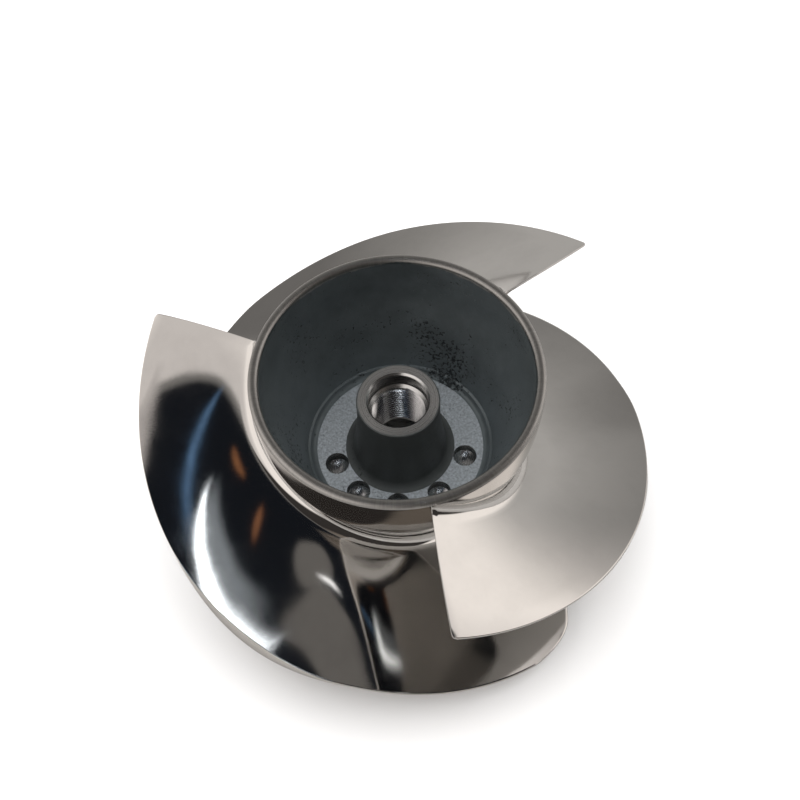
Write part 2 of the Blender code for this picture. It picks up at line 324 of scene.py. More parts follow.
def cast_group():
    """As-cast or blasted skin: grains, and pits gathered in patches."""
    entries = (
        ("Grain Scale", 1500.0),
        ("Grain Depth", 0.4),
        ("Pit Depth", 0.5),
        ("Pitted Patch", 0.0),
        ("Mottle Scale", 120.0),
        ("Base Roughness", 0.45),
    )
    exits = (("Roughness", FLOAT), ("Normal", VECTOR), ("Pits", FLOAT), ("Mottle", FLOAT))
    tree, source = new_group("cast_skin", entries, exits)
    place = object_place(tree)
    grain = noise(tree, place, source["Grain Scale"], 3.0, 0.65)
    patch = noise(tree, place, 55.0, 2.0)
    spots = noise(tree, place, 950.0, 3.0, 0.7)
    lift = maths(tree, "MULTIPLY_ADD", patch, 0.55, spots)
    away = vector_maths(tree, "DISTANCE", "Value", place, PITTED_PATCH)
    near = ramp(tree, away, 0.003, 0.020, 1.0, 0.0)
    pits = ramp(tree, maths(tree, "MULTIPLY_ADD", near, source["Pitted Patch"], lift), 0.90, 1.0)
    grains = bump(tree, 0.00012, source["Grain Depth"], grain)
    mottle = noise(tree, place, source["Mottle Scale"], 5.0, 0.6)
    spread = ramp(tree, mottle, 0.3, 0.7, -0.06, 0.08)
    results = {
        "Roughness": maths(tree, "ADD", spread, source["Base Roughness"]),
        "Normal": bump(tree, 0.0003, source["Pit Depth"], pits, grains, True),
        "Pits": pits,
        "Mottle": mottle,
    }
    return end_group(tree, results)


def turning_group():
    """Tool marks of a lathe: rings about the shaft axis, uneven in depth."""
    entries = (("Spacing", 0.00028), ("Depth", 0.3), ("Base Roughness", 0.3))
    exits = (("Roughness", FLOAT), ("Normal", VECTOR), ("Rings", FLOAT))
    tree, source = new_group("lathe_marks", entries, exits)
    parts = parts_of(tree, object_place(tree))
    level = joined(tree, parts["X"], parts["Y"])
    radius = vector_maths(tree, "LENGTH", "Value", level)
    count = maths(tree, "DIVIDE", maths(tree, "ADD", radius, parts["Z"]), source["Spacing"])
    wave = maths(tree, "PINGPONG", count, 0.5)
    inputs = {"W": count, "Scale": 1.7, "Detail": 4.0, "Roughness": 0.7}
    line = add_node(tree, "ShaderNodeTexNoise", inputs, noise_dimensions="1D").outputs["Fac"]
    rings = maths(tree, "MULTIPLY_ADD", wave, 0.6, line)
    spread = ramp(tree, line, 0.3, 0.7, -0.05, 0.08)
    results = {
        "Roughness": maths(tree, "ADD", spread, source["Base Roughness"]),
        "Normal": bump(tree, 0.00003, source["Depth"], rings),
        "Rings": rings,
    }
    return end_group(tree, results)


def lip_group():
    """A lip dressed by hand: streaks across it, and an uneven edge against the cast bowl."""
    entries = (("Inner Radius", 0.040), ("Top", 0.0741), ("Depth", 0.5), ("Base Roughness", 0.4))
    exits = (("Roughness", FLOAT), ("Normal", VECTOR), ("Streaks", FLOAT), ("Cast", FLOAT))
    tree, source = new_group("dressed_lip", entries, exits)
    parts = parts_of(tree, object_place(tree))
    level = joined(tree, parts["X"], parts["Y"])
    heading = vector_maths(tree, "NORMALIZE", "Vector", level)
    streaks = noise(tree, heading, 95.0, 5.0, 0.7)
    spread = ramp(tree, streaks, 0.3, 0.7, -0.05, 0.08)
    radius = vector_maths(tree, "LENGTH", "Value", level)
    outward = maths(tree, "SUBTRACT", radius, source["Inner Radius"])
    above = maths(tree, "SUBTRACT", parts["Z"], source["Top"])
    reach = maths(tree, "ADD", outward, above)
    edge = ramp(tree, noise(tree, heading, 1.6, 5.0, 0.6), 0.35, 0.65, -0.0014, 0.0011)
    results = {
        "Roughness": maths(tree, "ADD", spread, source["Base Roughness"]),
        "Normal": bump(tree, 0.00009, source["Depth"], streaks),
        "Streaks": streaks,
        "Cast": ramp(tree, maths(tree, "SUBTRACT", reach, edge), -0.0003, 0.0003, 1.0, 0.0),
    }
    return end_group(tree, results)


# Materials

def new_material(name, metallic):
    finish = bpy.data.materials.new(name)
    finish.use_nodes = True
    shader = finish.node_tree.nodes["Principled BSDF"]
    shader.inputs["Metallic"].default_value = metallic
    return finish, finish.node_tree, shader


def finish_with(tree, shader, effect, colour):
    """Gives a shader an effect's roughness and normal, and a base colour."""
    feed(tree, effect.outputs["Roughness"], shader.inputs["Roughness"])
    feed(tree, effect.outputs["Normal"], shader.inputs["Normal"])
    feed(tree, colour, shader.inputs["Base Color"])


def two_tone(tree, mask, first, second, low=0.0, high=1.0):
    """A colour that runs between two colours with a mask."""
    return blend(tree, ramp(tree, mask, low, high), opaque(first), opaque(second))


def polished_material(name, colour, waves, roughness, haze):
    """Mirror-polished stainless steel with the slight unevenness of hand work."""
    finish, tree, shader = new_material(name, 1.0)
    inputs = {"Waves": waves, "Scratches": 0.06, "Base Roughness": roughness, "Haze": haze}
    polish = add_group(tree, "hand_polish", polish_group, inputs)
    toned = two_tone(tree, polish.outputs["Tint"], colour, shaded(colour, 0.93))
    finish_with(tree, shader, polish, toned)
    return finish


def cast_material(name, colour, metallic, roughness, grains, pits, patch=0.0, mottle=(120.0, 0.14)):
    """Cast skin with grains (scale, depth), dark pits (depth, tone) and mottling (scale, contrast)."""
    finish, tree, shader = new_material(name, metallic)
    inputs = {
        "Grain Scale": grains[0],
        "Grain Depth": grains[1],
        "Pit Depth": pits[0],
        "Pitted Patch": patch,
        "Mottle Scale": mottle[0],
        "Base Roughness": roughness,
    }
    skin = add_group(tree, "cast_skin", cast_group, inputs)
    darker = shaded(colour, 1.0 - mottle[1])
    lighter = shaded(colour, 1.0 + mottle[1])
    mottled = two_tone(tree, skin.outputs["Mottle"], darker, lighter, 0.3, 0.7)
    pitted = blend(tree, skin.outputs["Pits"], mottled, opaque(shaded(colour, pits[1])))
    finish_with(tree, shader, skin, pitted)
    return finish


def turned_material(name, colour, roughness, spacing, depth):
    """Steel as the lathe left it."""
    finish, tree, shader = new_material(name, 1.0)
    inputs = {"Spacing": spacing, "Depth": depth, "Base Roughness": roughness}
    marks = add_group(tree, "lathe_marks", turning_group, inputs)
    ringed = two_tone(tree, marks.outputs["Rings"], shaded(colour, 0.85), colour, 0.3, 0.9)
    finish_with(tree, shader, marks, ringed)
    return finish


def dressed_colour(tree, colour, cast_colour, sizes):
    """The lip's streaked colour, which gives way to the cast skin along an uneven line."""
    inputs = {"Inner Radius": sizes.mouth_radius - sizes.wall, "Top": sizes.height - sizes.lip_round}
    lip = add_group(tree, "dressed_lip", lip_group, inputs)
    tone = two_tone(tree, lip.outputs["Streaks"], shaded(colour, 0.72), colour, 0.3, 0.7)
    return lip, blend(tree, lip.outputs["Cast"], tone, cast_colour)


def lip_material(name, colour, cast_colour, sizes):
    """The brushed lip of the hub's mouth."""
    finish, tree, shader = new_material(name, 1.0)
    lip, mixed = dressed_colour(tree, colour, opaque(cast_colour), sizes)
    finish_with(tree, shader, lip, mixed)
    return finish


def add_dressed_edge(finish, colour, sizes):
    """Lets the lip's dressing run a little way down a cast wall."""
    tree = finish.node_tree
    base = tree.nodes["Principled BSDF"].inputs["Base Color"]
    feed(tree, dressed_colour(tree, colour, base.links[0].from_socket, sizes)[1], base)
    return finish


# Forms of the hub and of a blade

def eased(share):
    """Runs smoothly from 0 to 1 and stays there."""
    inside = min(1.0, max(0.0, share))
    return inside * inside * (3 - 2 * inside)


class HubForm:
    """Radii of the hub at any height."""

    WALL_GAIN = 0.08
    WALL_GAIN_RUN = 0.014

    def __init__(self, sizes):
        self.sizes = sizes
        self.mouth = sizes.mouth_radius
        self.nose = sizes.nose_radius
        self.slope = sizes.cone_slope
        self.top = sizes.cone_top
        self.knee = sizes.knee

    def outer(self, z):
        below = self.top - z
        cone = self.mouth - self.slope * (below + math.hypot(below, self.knee)) / 2
        past_nose = self.nose - cone
        return cone + (past_nose + math.hypot(past_nose, self.knee / 8)) / 2

    def lean(self, z):
        """Change of the outer radius with height."""
        step = 0.0001
        return (self.outer(z + step) - self.outer(z - step)) / (2 * step)

    def inner(self, z):
        """Inner radius; the wall is a little thicker down the cone."""
        gain = 1 + self.WALL_GAIN * eased((self.top - z) / self.WALL_GAIN_RUN)
        return self.outer(z) - self.sizes.wall * gain


class BladeForm:
    """Places on a blade's two faces, in cylindrical coordinates."""

    ARC_STEPS = 8
    FILLET_TOP_GAP = 0.0007
    LEAST_FILLET = 0.0003
    OUTWARD_SHARE = 0.67
    INWARD_SHARE = 0.33
    LAG_POWER = 2.3
    ROOT_FULLNESS = 0.6

    def __init__(self, sizes, hub):
        self.hub = hub
        self.height = hub.sizes.height
        names = sizes.bl_rna.properties.keys()
        for name in names:
            if name not in ("rna_type", "name"):
                setattr(self, name, getattr(sizes, name))

    def drop(self, wrap):
        steep = (self.trailing_pitch - self.leading_pitch) / math.tau
        run = min(wrap, self.pitch_run)
        return self.leading_pitch / math.tau * wrap + steep * (run - run * run / (2 * self.pitch_run))

    def fall(self):
        """Slope of a blade's face from the hub outwards."""
        return -self.droop / (self.tip_radius - self.hub.mouth)

    def face(self, wrap, radius):
        along = (radius - self.hub.mouth) / (self.tip_radius - self.hub.mouth)
        lift = self.tip_lift * along * eased((wrap - self.lift_from) / self.lift_run)
        level = self.height - self.edge_drop + self.fall() * (radius - self.hub.mouth)
        return level - self.drop(wrap) + lift

    def rim(self, wrap, lower):
        """Radius of the rim: it leans outwards where it is thickest and stands in along its leading part."""
        off_centre = min(1.0, abs(wrap - self.flare_at) / self.flare_span)
        lean = self.rim_flare * math.cos(math.pi / 2 * off_centre) ** 2
        relief = self.relief * eased((wrap - self.relief_from) / self.relief_run)
        return self.tip_radius - relief + lean * (self.OUTWARD_SHARE if lower else -self.INWARD_SHARE)

    def end(self, radius):
        sweep = self.sweep * ((radius - self.hub.nose) / (self.sweep_radius - self.hub.nose)) ** 3
        corner_width = self.tip_radius - self.relief - self.corner_radius
        corner = self.corner_sweep * (max(0.0, radius - self.corner_radius) / corner_width) ** 3
        return self.wrap_at_hub - max(0.0, sweep) - corner

    def start(self, radius):
        """Lag of the trailing edge, at the hub and where its outer corner is rounded."""
        inside = min(1.0, max(0.0, radius - self.tip_radius + self.tip_round) / self.tip_round)
        corner = self.tip_round / self.tip_radius * (1 - math.sqrt(1 - inside * inside))
        inward = min(1.0, max(0.0, self.tip_radius - radius) / (self.tip_radius - self.hub.mouth))
        return corner + self.root_lag * inward ** self.LAG_POWER

    def roll(self, wrap, radius):
        """Drop of the polished face close to the rim and to the trailing edge."""
        inside = max(0.0, radius - self.tip_radius + self.roll_width) / self.roll_width
        fade = math.cos(math.pi / 2 * min(1.0, wrap / self.roll_reach)) ** 2
        from_edge = (wrap - self.start(radius)) * radius
        near = max(0.0, 1 - max(0.0, from_edge) / self.edge_roll_width)
        return self.rim_roll * inside * inside * fade + self.edge_roll * near * near

    def thickness(self, wrap, along, part):
        fullness = math.sin(math.pi * part) ** self.ROOT_FULLNESS
        root = (self.root_thickness - self.edge_thickness) * fullness
        span = self.thick_span if wrap < self.thickest_at else self.thin_span
        off_centre = min(1.0, abs(wrap - self.thickest_at) / span)
        rim = (self.rim_thickness - self.edge_thickness) * math.cos(math.pi / 2 * off_centre) ** 2
        return self.edge_thickness + (1 - along) * root + along * rim

    def root(self, wrap, below):
        radius = self.hub.mouth
        for _ in range(6):
            radius = self.hub.outer(self.face(wrap, radius) - below)
        return radius

    def fillet_arc(self, fraction, corner_height, lower):
        """Offsets from the corner between wall and face, out along a fillet tangent to both."""
        lean = self.hub.lean(corner_height)
        wall = Vector((lean, 1.0)).normalized() * (-1.0 if lower else 1.0)
        face = Vector((1.0, self.fall())).normalized()
        half = wall.angle(face) / 2
        reach = 1 / math.tan(half)
        radius = self.fillet
        if not lower:
            room = self.height - self.FILLET_TOP_GAP - corner_height
            radius = min(radius, max(self.LEAST_FILLET, room / (reach * wall.y)))
        centre = (wall + face).normalized() * radius / math.sin(half)
        start = wall * reach * radius - centre
        end = face * reach * radius - centre
        spread = start.angle(end)
        turned = start * math.sin((1 - fraction) * spread) + end * math.sin(fraction * spread)
        return centre + turned / math.sin(spread)

    def point(self, part, column, lower, shares):
        """A point of the upper or lower face; part runs from the trailing to the leading edge."""
        wrap = part * self.wrap_at_hub
        for _ in range(5):
            below = self.thickness(wrap, 0.0, part) if lower else 0.0
            root = self.root(wrap, below)
            corner = self.face(wrap, root) - below
            if column <= self.ARC_STEPS + 1:
                fraction = max(0, column - 1) / self.ARC_STEPS
                offset = self.fillet_arc(fraction, corner, lower)
                radius = root + offset.x
            else:
                reach = root + self.fillet_arc(1.0, corner, lower).x
                radius = reach + (self.rim(wrap, lower) - reach) * shares[column - self.ARC_STEPS - 2]
            wrap = part * self.end(radius) + (1 - part) * self.start(radius)
        along = min(1.0, max(0.0, (radius - root) / (self.tip_radius - root)))
        height = self.face(wrap, radius)
        if lower:
            height -= self.thickness(wrap, along, part)
        else:
            height -= self.roll(wrap, radius)
        if column <= self.ARC_STEPS + 1:
            height += offset.y - self.fall() * offset.x
        if column == 0:
            radius -= self.embed
        return radius, wrap, height


# Mesh helpers

def add_piece(name, shape, smooth_angle=40.0):
    """Turns a bmesh into an object of the scene, smooth but for its sharper edges."""
    for face in shape.faces:
        face.smooth = True
    mesh = bpy.data.meshes.new(name)
    shape.to_mesh(mesh)
    shape.free()
    mesh.set_sharp_from_angle(angle=math.radians(smooth_angle))
    piece = bpy.data.objects.new(name, mesh)
    bpy.context.scene.collection.objects.link(piece)
    return piece


def dress(piece, *finishes):
    for finish in finishes:
        piece.data.materials.append(finish)


def arc(centre_r, centre_z, radius, start, end, steps):
    """Points on an arc of a turned profile; angles in degrees, 0 pointing outwards."""
    points = []
    for step in range(steps + 1):
        angle = math.radians(start + (end - start) * step / steps)
        points.append((centre_r + radius * math.cos(angle), centre_z + radius * math.sin(angle)))
    return points


def levels(low, high, count):
    return [low + (high - low) * step / count for step in range(count + 1)]


def spin_stretch(shape, points, finish):
    """Spins one stretch of a profile into a wedge and gives its faces a finish."""
    known = set(shape.faces)
    corners = [shape.verts.new((r, 0.0, z)) for r, z in points]
    edges = [shape.edges.new(pair) for pair in zip(corners, corners[1:])]
    wedge = math.tau / WEDGES
    bmesh.ops.spin(
        shape, geom=corners + edges, axis=(0, 0, 1), cent=(0, 0, 0), angle=wedge, steps=WEDGE_STEPS
    )
    for face in set(shape.faces) - known:
        face.material_index = finish


def close_ring(shape):
    """Repeats a wedge round the shaft axis and welds it into a ring; much quicker than one long spin."""
    wedge = shape.verts[:] + shape.edges[:] + shape.faces[:]
    rest = math.tau * (WEDGES - 1) / WEDGES
    bmesh.ops.spin(
        shape, geom=wedge, axis=(0, 0, 1), cent=(0, 0, 0), angle=rest, steps=WEDGES - 1, use_duplicate=True
    )
    bmesh.ops.remove_doubles(shape, verts=shape.verts[:], dist=WELD_DISTANCE)
    bmesh.ops.recalc_face_normals(shape, faces=shape.faces[:])


def cut(piece, tool):
    """Cuts a tool's shape out of a piece, and removes the tool."""
    modifier = piece.modifiers.new("cut", "BOOLEAN")
    modifier.operation = "DIFFERENCE"
    modifier.solver = "EXACT"
    modifier.material_mode = "TRANSFER"
    modifier.object = tool
    bpy.context.view_layer.update()
    graph = bpy.context.evaluated_depsgraph_get()
    mesh = bpy.data.meshes.new_from_object(piece.evaluated_get(graph))
    piece.modifiers.clear()
    old = piece.data
    mesh.name = old.name
    piece.data = mesh
    bpy.data.meshes.remove(old)
    bpy.data.objects.remove(tool)


def attach(piece):
    """Hangs a piece on the casting's body and hides the casting, which the piece stands for."""
    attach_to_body(piece, "root")
    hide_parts(CASTING)


# Hub

WALL_FINISH, LIP_FINISH, BOWL_FINISH, FLOOR_FINISH, BOSS_FINISH, TURNED_FINISH, BORE_FINISH = range(7)
WEDGES = 16
WEDGE_STEPS = 16
WELD_DISTANCE = 0.000002
NOSE_BREAK = 0.0008
SEAL_BREAK = 0.0004
ROOF_RELIEF = 0.0015
THREAD_START = 0.0085
DRILL_POINT_ANGLE = math.radians(31.0)
DRILL_RISE = 0.008
STEPS_PER_TOOTH = 8
# Angle in degrees and depth of each balance hole
BALANCE_HOLES = ((-164.0, 0.0040), (-130.6, 0.0036), (-94.0, 0.0036), (-56.5, 0.0036), (-13.8, 0.0034))


def hub_stretches(sizes, hub):
    """The hub's half section as stretches of one finish each, from the nose up and over the lip."""
    top = sizes.height - sizes.lip_round
    rim_outer = hub.outer(top)
    rim_inner = hub.inner(top)
    wall = [(hub.outer(z), z) for z in levels(NOSE_BREAK, top, 90)]
    lip = arc(rim_outer - sizes.lip_round, top, sizes.lip_round, 0, 90, 10)
    lip += arc(rim_inner + sizes.lip_round, top, sizes.lip_round, 90, 180, 10)
    fillet = sizes.floor_fillet
    corner = arc(sizes.floor_radius, sizes.floor_height + fillet, fillet, -22, -90, 8)
    above_corner = corner[0][1] + 0.0004
    bowl = [(hub.inner(z), z) for z in levels(top, above_corner, 70)] + corner
    ground = [corner[-1], (sizes.boss_root_radius, sizes.floor_height)]
    return wall, lip, bowl, ground


def boss_side(sizes):
    """The boss's side: a fillet at the floor, a slow taper, and a straight band under its face."""
    taper = 0.0020
    band = 0.0060
    edge_break = 0.0005
    flare = sizes.boss_root_radius - sizes.boss_radius - taper
    root = arc(sizes.boss_root_radius, sizes.floor_height + flare, flare, 270, 180, 8)
    low = root[-1][1]
    high = sizes.boss_height - band
    side = []
    for z in levels(low, high, 20)[1:]:
        share = (high - z) / (high - low)
        side.append((sizes.boss_radius + taper * share ** 1.5, z))
    edge = arc(sizes.boss_radius - edge_break, sizes.boss_height - edge_break, edge_break, 0, 90, 4)
    return root + side + edge


def bore_side(sizes):
    """From the boss's face down the counterbore and the thread's bore to the socket's roof."""
    chamfer = 0.0006
    shoulder = sizes.boss_height - sizes.counterbore_depth
    roof = sizes.socket_depth + ROOF_RELIEF
    thread_start = roof + THREAD_START
    return [
        (sizes.counterbore_radius + chamfer, sizes.boss_height),
        (sizes.counterbore_radius, sizes.boss_height - chamfer),
        (sizes.counterbore_radius, shoulder),
        (sizes.thread_root, shoulder - 0.0008),
        (sizes.thread_root, thread_start),
        (sizes.thread_crest, roof + 0.0080),
        (sizes.thread_crest, roof),
    ]


def nose_side(sizes, hub):
    """From the socket's roof down to the seal seat, over the nose face and up its outer edge."""
    return [
        (sizes.thread_crest, sizes.socket_depth + ROOF_RELIEF),
        (sizes.socket_minor, sizes.socket_depth + ROOF_RELIEF),
        (sizes.socket_minor, sizes.seal_depth),
        (sizes.seal_radius, sizes.seal_depth),
        (sizes.seal_radius, SEAL_BREAK),
        (sizes.seal_radius + SEAL_BREAK, 0.0),
        (sizes.nose_radius - 0.0006, 0.0),
        (hub.outer(NOSE_BREAK), NOSE_BREAK),
    ]


def hub_mesh(sizes, hub):
    wall, lip, bowl, ground = hub_stretches(sizes, hub)
    boss = boss_side(sizes)
    bore = bore_side(sizes)
    stretches = (
        (wall, WALL_FINISH),
        (lip, LIP_FINISH),
        (bowl, BOWL_FINISH),
        (ground, FLOOR_FINISH),
        (boss, BOSS_FINISH),
        ([boss[-1], bore[0]], TURNED_FINISH),
        (bore, BORE_FINISH),
        (nose_side(sizes, hub), TURNED_FINISH),
    )
    shape = bmesh.new()
    for points, finish in stretches:
        spin_stretch(shape, points, finish)
    close_ring(shape)
    return shape


def add_drill(shape, sizes, angle, depth):
    """A drill's cone, and its body up past the floor."""
    steps = 48
    point_depth = sizes.drill_radius * math.tan(DRILL_POINT_ANGLE)
    low = sizes.floor_height - depth
    result = bmesh.ops.create_circle(shape, cap_ends=True, segments=steps, radius=sizes.drill_radius)
    base = {face for vert in result["verts"] for face in vert.link_faces}
    bmesh.ops.translate(shape, verts=result["verts"], vec=(0.0, 0.0, low))
    raised = bmesh.ops.extrude_face_region(shape, geom=list(base), use_keep_orig=True)
    top = [item for item in raised["geom"] if isinstance(item, bmesh.types.BMVert)]
    bmesh.ops.translate(shape, verts=top, vec=(0.0, 0.0, DRILL_RISE))
    tip = bmesh.ops.poke(shape, faces=list(base))["verts"]
    bmesh.ops.translate(shape, verts=tip, vec=(0.0, 0.0, -point_depth))
    place = Vector((math.cos(angle), math.sin(angle), 0.0)) * sizes.drill_circle
    bmesh.ops.translate(shape, verts=result["verts"] + top + tip, vec=place)


def add_spline(shape, sizes):
    """A toothed prism for the grooves of the spline socket."""
    bottom = sizes.seal_depth - 0.001
    inner = sizes.socket_minor - 0.0004
    steps = sizes.teeth * STEPS_PER_TOOTH
    result = bmesh.ops.create_circle(shape, cap_ends=True, segments=steps, radius=inner)
    verts = result["verts"]
    for vert in verts:
        step = round(math.atan2(vert.co.y, vert.co.x) / math.tau * steps) % STEPS_PER_TOOTH
        if step < STEPS_PER_TOOTH / 2:
            vert.co *= sizes.socket_major / inner
    base = list({face for vert in verts for face in vert.link_faces})
    bmesh.ops.translate(shape, verts=verts, vec=(0.0, 0.0, bottom))
    raised = bmesh.ops.extrude_face_region(shape, geom=base, use_keep_orig=True)
    top = [item for item in raised["geom"] if isinstance(item, bmesh.types.BMVert)]
    bmesh.ops.translate(shape, verts=top, vec=(0.0, 0.0, sizes.socket_depth - bottom))
    return {face for vert in verts + top for face in vert.link_faces}


def cutters_mesh(sizes):
    """The drills and the broach that cut the hub, as one tool."""
    shape = bmesh.new()
    for angle, depth in BALANCE_HOLES:
        add_drill(shape, sizes, math.radians(angle), depth)
    for face in add_spline(shape, sizes):
        face.material_index = 1
    bmesh.ops.recalc_face_normals(shape, faces=shape.faces[:])
    return shape


def thread_mesh(sizes):
    """The thread's ridge: a small V wound up the bore as a helix."""
    steps = 96
    low = sizes.socket_depth + ROOF_RELIEF + THREAD_START
    high = sizes.boss_height - sizes.counterbore_depth - 0.0012
    turns = (high - low) / sizes.thread_pitch
    half = sizes.thread_pitch * 0.45
    flat = sizes.thread_pitch / 8
    foot = sizes.thread_root + 0.0002
    shape = bmesh.new()
    outline = ((foot, -half), (sizes.thread_crest, -flat), (sizes.thread_crest, flat), (foot, half))
    corners = [shape.verts.new((r, 0.0, low + z)) for r, z in outline]
    face = shape.faces.new(corners)
    count = int(turns * steps)
    rise = (0.0, 0.0, sizes.thread_pitch / steps)
    angle = math.tau * count / steps
    bmesh.ops.spin(shape, geom=[face], axis=(0, 0, 1), cent=(0, 0, 0), dvec=rise, angle=angle, steps=count)
    bmesh.ops.recalc_face_normals(shape, faces=shape.faces[:])
    return shape


class OBJECT_OT_impeller_hub(bpy.types.Operator):
    """Models the hub with its bowl, boss, balance holes and nose"""

    bl_idname = "object.impeller_hub"
    bl_label = "Hub"

    def execute(self, context):
        sizes = context.scene.impeller_hub
        tones = context.scene.impeller_finish
        hub = HubForm(sizes)
        piece = add_piece("hub", hub_mesh(sizes, hub))
        dress(
            piece,
            polished_material("polished_hub_wall", tones.polished, 0.05, 0.07, 0.06),
            lip_material("brushed_lip", tones.lip, tones.bowl, sizes),
            add_dressed_edge(
                cast_material("cast_bowl", tones.bowl, 0.75, 0.42, (900.0, 0.25), (0.7, 0.25), 0.19),
                tones.lip,
                sizes,
            ),
            cast_material(
                "blasted_floor", tones.floor, 0.65, 0.42, (1000.0, 1.0), (0.5, 0.5), mottle=(1400.0, 0.34)
            ),
            cast_material("cast_boss", tones.boss, 0.6, 0.56, (900.0, 0.3), (0.2, 0.6)),
            turned_material("turned_face", tones.turned, 0.26, 0.00022, 0.9),
            turned_material("bored_steel", tones.turned, 0.22, 0.00030, 0.25),
        )
        tool = add_piece("cutters", cutters_mesh(sizes))
        drilled = turned_material("drilled_steel", tones.drilled, 0.24, 0.00035, 0.3)
        dress(tool, drilled, bpy.data.materials["bored_steel"])
        cut(piece, tool)
        piece.data.set_sharp_from_angle(angle=math.radians(35.0))
        attach(piece)
        return {"FINISHED"}


class OBJECT_OT_impeller_thread(bpy.types.Operator):
    """Winds the thread inside the boss"""

    bl_idname = "object.impeller_thread"
    bl_label = "Thread"

    def execute(self, context):
        sizes = context.scene.impeller_hub
        tones = context.scene.impeller_finish
        piece = add_piece("shaft_thread", thread_mesh(sizes), 20.0)
        dress(piece, turned_material("cut_thread", tones.drilled, 0.20, 0.0004, 0.1))
        attach(piece)
        return {"FINISHED"}


# Blades

BLADE_ROWS = 210
SPAN_COLUMNS = 40
FIRST_ROW_SHARE = 0.3
# Width and segments of the broken edges: leading, trailing and rim
EDGE_BREAKS = ((0.00042, 4), (0.00022, 3), (0.00016, 2))


def span_shares():
    """Shares of the span at which a blade has points, closer together at the tip."""
    return [1 - (1 - step / SPAN_COLUMNS) ** 1.25 for step in range(1, SPAN_COLUMNS + 1)]


def blade_mesh(form):
    """A grid laid over the blade's upper face and extruded into its lower face, with broken edges."""
    shares = span_shares()
    last = form.ARC_STEPS + 1 + SPAN_COLUMNS
    shape = bmesh.new()
    bmesh.ops.create_grid(shape, x_segments=BLADE_ROWS, y_segments=last, size=0.5)
    result = bmesh.ops.extrude_face_region(shape, geom=shape.faces[:])
    lower = {item for item in result["geom"] if isinstance(item, bmesh.types.BMVert)}
    places = {}
    for vert in shape.verts:
        row = min(1.0, max(0.0, vert.co.x + 0.5))
        part = row * (FIRST_ROW_SHARE + (1 - FIRST_ROW_SHARE) * row)
        places[vert] = (part, round((vert.co.y + 0.5) * last), vert in lower)
    for vert, (part, column, is_lower) in places.items():
        radius, wrap, height = form.point(part, column, is_lower, shares)
        vert.co = (radius * math.cos(wrap), radius * math.sin(wrap), height)
    bmesh.ops.recalc_face_normals(shape, faces=shape.faces[:])
    for face in shape.faces:
        if all(places[vert][1] == last for vert in face.verts):
            face.material_index = 1
    leading = []
    trailing = []
    rim = []
    for edge in shape.edges:
        first, second = (places[vert] for vert in edge.verts)
        if first[2] != second[2] or min(first[1], second[1]) == 0:
            continue
        if first[0] == second[0] == 1.0:
            leading.append(edge)
        elif first[0] == second[0] == 0.0:
            trailing.append(edge)
        elif first[1] == second[1] == last:
            rim.append(edge)
    for edges, (offset, segments) in zip((leading, trailing, rim), EDGE_BREAKS):
        live = [edge for edge in edges if edge.is_valid]
        bmesh.ops.bevel(
            shape, geom=live, offset=offset, segments=segments, profile=0.5, affect="EDGES", material=-1
        )
    return shape


class OBJECT_OT_impeller_blades(bpy.types.Operator):
    """Models the helical blades with their fillets and turned rims"""

    bl_idname = "object.impeller_blades"
    bl_label = "Blades"

    def execute(self, context):
        sizes = context.scene.impeller_blades
        tones = context.scene.impeller_finish
        form = BladeForm(sizes, HubForm(context.scene.impeller_hub))
        face_finish = polished_material("polished_blade", tones.polished, 0.05, 0.05, 0.05)
        rim_finish = turned_material("turned_rim", tones.rim, 0.28, 0.0003, 0.2)
        pattern = blade_mesh(form)
        for number in range(sizes.count):
            angle = sizes.first_edge + number * math.tau / sizes.count
            shape = pattern.copy()
            turned = Matrix.Rotation(angle, 3, "Z")
            bmesh.ops.rotate(shape, verts=shape.verts[:], cent=(0, 0, 0), matrix=turned)
            piece = add_piece(f"blade_{number + 1}", shape)
            dress(piece, face_finish, rim_finish)
            attach(piece)
        pattern.free()
        return {"FINISHED"}


# Stage

LIGHT_PLACE = (0.0, 0.2, 1.5)
LIGHT_SIZE = (2.4, 2.0)
FLOOR_HALF = 3.0


def add_light(name, power):
    """A soft white light that faces the origin and stays out of the steel's reflections."""
    lamp = bpy.data.lights.new(name, "AREA")
    lamp.shape = "RECTANGLE"
    lamp.size, lamp.size_y = LIGHT_SIZE
    lamp.energy = power
    item = bpy.data.objects.new(name, lamp)
    item.location = LIGHT_PLACE
    item.rotation_euler = Vector(LIGHT_PLACE).to_track_quat("Z", "Y").to_euler()
    item.visible_glossy = False
    bpy.context.scene.collection.objects.link(item)
    return item


